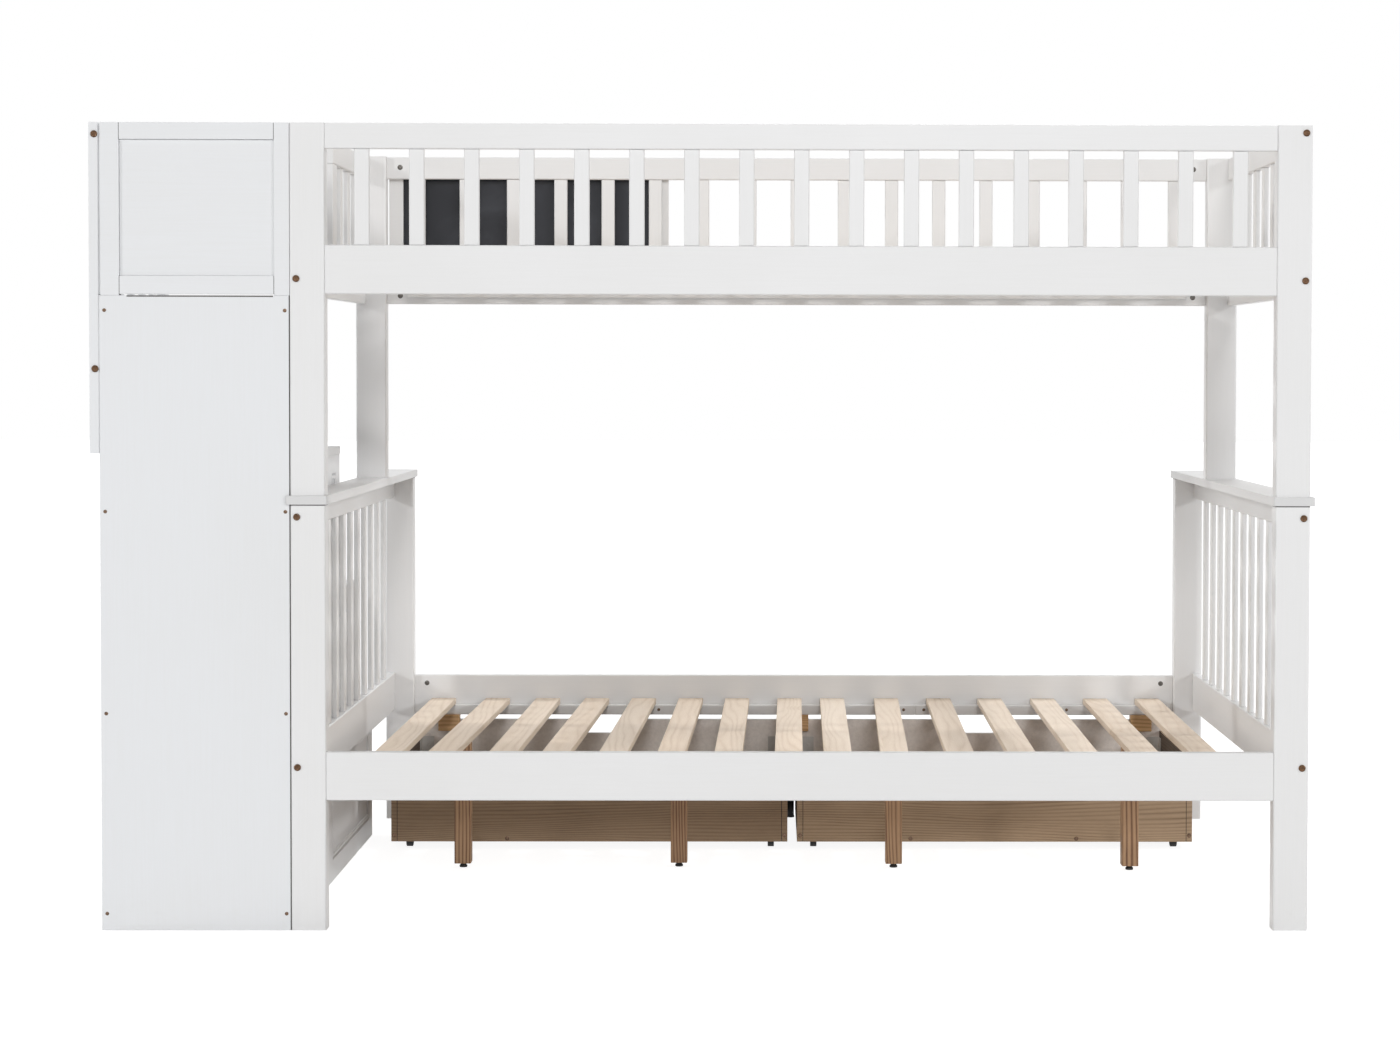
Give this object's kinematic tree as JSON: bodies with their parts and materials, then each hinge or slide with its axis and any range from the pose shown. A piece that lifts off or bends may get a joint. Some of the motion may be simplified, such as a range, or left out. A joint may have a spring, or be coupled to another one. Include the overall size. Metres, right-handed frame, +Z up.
{
  "type": "staircase bunk bed",
  "caption": "Wooden bunk bed with a narrow bunk over a wider one, drawers under the lower bunk, and a stair unit with drawers behind its risers.",
  "frame": {"origin": "middle of the whole part's base, at floor height", "axes": "+X runs from the stair unit to the plain end, +Y runs from the wall side to the room side, +Z is up"},
  "size_m": [2.6334, 1.615, 1.738],
  "materials": {
    "white_paint": "satin white paint over solid wood",
    "pale_slat_wood": "planed, unfinished",
    "amber_pine": "planed, lightly oiled",
    "drawer_pine": "planed, unfinished",
    "black_steel": "semi-gloss black",
    "slate": "matt writing surface",
    "black_plastic": "moulded"
  },
  "bodies": {
    "frame": {"lower_post_wall_left": "white_paint", "lower_post_wall_right": "white_paint", "lower_post_room_left": "white_paint", "lower_post_room_right": "white_paint", "upper_post_wall_left": "white_paint", "upper_post_wall_right": "white_paint", "upper_post_room_left": "white_paint", "upper_post_room_right": "white_paint", "lower_end_frame_left": "white_paint", "lower_end_frame_right": "white_paint", "upper_end_frame_right": "white_paint", "entry_bottom_rail": "white_paint", "entry_guard": "white_paint", "post_cap_left": "white_paint", "post_cap_right": "white_paint", "lower_side_rail_wall": "white_paint", "lower_side_rail_room": "white_paint", "upper_side_rail_wall": "white_paint", "upper_side_rail_room": "white_paint", "guard_top_rail_wall": "white_paint", "guard_top_rail_room": "white_paint", "guard_spindles_wall": "white_paint", "guard_spindles_room": "white_paint", "slate_frame": "white_paint", "stair_side_inner": "white_paint", "stair_side_outer": "white_paint", "stair_back_panel": "white_paint", "stair_treads": "white_paint", "stair_plinth": "white_paint", "back_guard": "white_paint", "outer_guard": "white_paint", "lower_slats": "pale_slat_wood", "upper_slats": "pale_slat_wood", "slat_legs": "amber_pine", "drawer_stops": "amber_pine", "stair_runners": "amber_pine", "rail_prop": "black_steel", "slate_board": "slate", "leg_glides": "black_plastic"},
    "bed_drawer_left": {"bed_drawer_front_left": "white_paint", "bed_drawer_box_left": "drawer_pine", "wheel_housings_left": "black_plastic"},
    "front_wheel_pair_left": {"front_wheels_left": "black_plastic"},
    "rear_wheel_pair_left": {"rear_wheels_left": "black_plastic"},
    "bed_drawer_right": {"bed_drawer_front_right": "white_paint", "bed_drawer_box_right": "drawer_pine", "wheel_housings_right": "black_plastic"},
    "front_wheel_pair_right": {"front_wheels_right": "black_plastic"},
    "rear_wheel_pair_right": {"rear_wheels_right": "black_plastic"},
    "stair_drawer_1": {"stair_drawer_front_1": "white_paint", "stair_drawer_box_1": "drawer_pine"},
    "stair_drawer_2": {"stair_drawer_front_2": "white_paint", "stair_drawer_box_2": "drawer_pine"},
    "stair_drawer_3": {"stair_drawer_front_3": "white_paint", "stair_drawer_box_3": "drawer_pine"},
    "stair_drawer_4": {"stair_drawer_front_4": "white_paint", "stair_drawer_box_4": "drawer_pine"}
  },
  "joints": [
    {"name": "bed_drawer_left_slide", "type": "slide", "parent": "frame", "child": "bed_drawer_left", "axis": [0, 1, 0], "range_m": [0, 0.45]},
    {"name": "front_wheels_left_spin", "type": "hinge", "parent": "bed_drawer_left", "child": "front_wheel_pair_left", "pos_m": [-0.31035, 0.7315, 0.018], "axis": [1, 0, 0], "range_deg": [-1450, 5]},
    {"name": "rear_wheels_left_spin", "type": "hinge", "parent": "bed_drawer_left", "child": "rear_wheel_pair_left", "pos_m": [-0.31035, 0.3055, 0.018], "axis": [1, 0, 0], "range_deg": [-1450, 5]},
    {"name": "bed_drawer_right_slide", "type": "slide", "parent": "frame", "child": "bed_drawer_right", "axis": [0, 1, 0], "range_m": [0, 0.45]},
    {"name": "front_wheels_right_spin", "type": "hinge", "parent": "bed_drawer_right", "child": "front_wheel_pair_right", "pos_m": [0.71265, 0.7315, 0.018], "axis": [1, 0, 0], "range_deg": [-1450, 5]},
    {"name": "rear_wheels_right_spin", "type": "hinge", "parent": "bed_drawer_right", "child": "rear_wheel_pair_right", "pos_m": [0.71265, 0.3055, 0.018], "axis": [1, 0, 0], "range_deg": [-1450, 5]},
    {"name": "stair_drawer_1_slide", "type": "slide", "parent": "frame", "child": "stair_drawer_1", "axis": [0, 1, 0], "range_m": [0, 0.28]},
    {"name": "stair_drawer_2_slide", "type": "slide", "parent": "frame", "child": "stair_drawer_2", "axis": [0, 1, 0], "range_m": [0, 0.28]},
    {"name": "stair_drawer_3_slide", "type": "slide", "parent": "frame", "child": "stair_drawer_3", "axis": [0, 1, 0], "range_m": [0, 0.28]},
    {"name": "stair_drawer_4_slide", "type": "slide", "parent": "frame", "child": "stair_drawer_4", "axis": [0, 1, 0], "range_m": [0, 0.28]}
  ],
  "couplings": [
    {"joint": "front_wheels_left_spin", "follows": "bed_drawer_left_slide", "rad_per_m": -55.556},
    {"joint": "rear_wheels_left_spin", "follows": "bed_drawer_left_slide", "rad_per_m": -55.556},
    {"joint": "front_wheels_right_spin", "follows": "bed_drawer_right_slide", "rad_per_m": -55.556},
    {"joint": "rear_wheels_right_spin", "follows": "bed_drawer_right_slide", "rad_per_m": -55.556}
  ]
}
